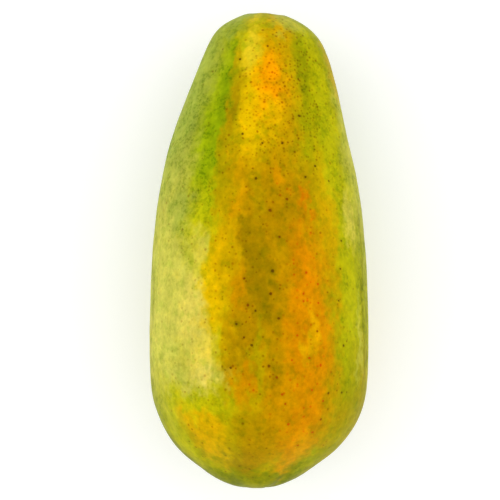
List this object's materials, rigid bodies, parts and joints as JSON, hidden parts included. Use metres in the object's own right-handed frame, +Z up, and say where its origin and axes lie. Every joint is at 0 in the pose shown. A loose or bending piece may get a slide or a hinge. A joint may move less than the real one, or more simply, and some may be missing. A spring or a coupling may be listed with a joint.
{
  "type": "papaya",
  "caption": "Whole ripening papaya fruit, as picked, lying on its side: long pear shape with five soft lobes, a stem scar and a lobed blossom tip.",
  "frame": {"origin": "on the surface that the fruit lies on, under the middle of its bounding box", "axes": "+Y along the fruit towards its stem end, +X to its right, +Z up"},
  "size_m": [0.1204, 0.2606, 0.1174],
  "materials": {
    "skin": "smooth waxy satin skin, green turning yellow and orange, with small brown freckles"
  },
  "bodies": {
    "root": {"papaya": "skin"}
  },
  "joints": []
}
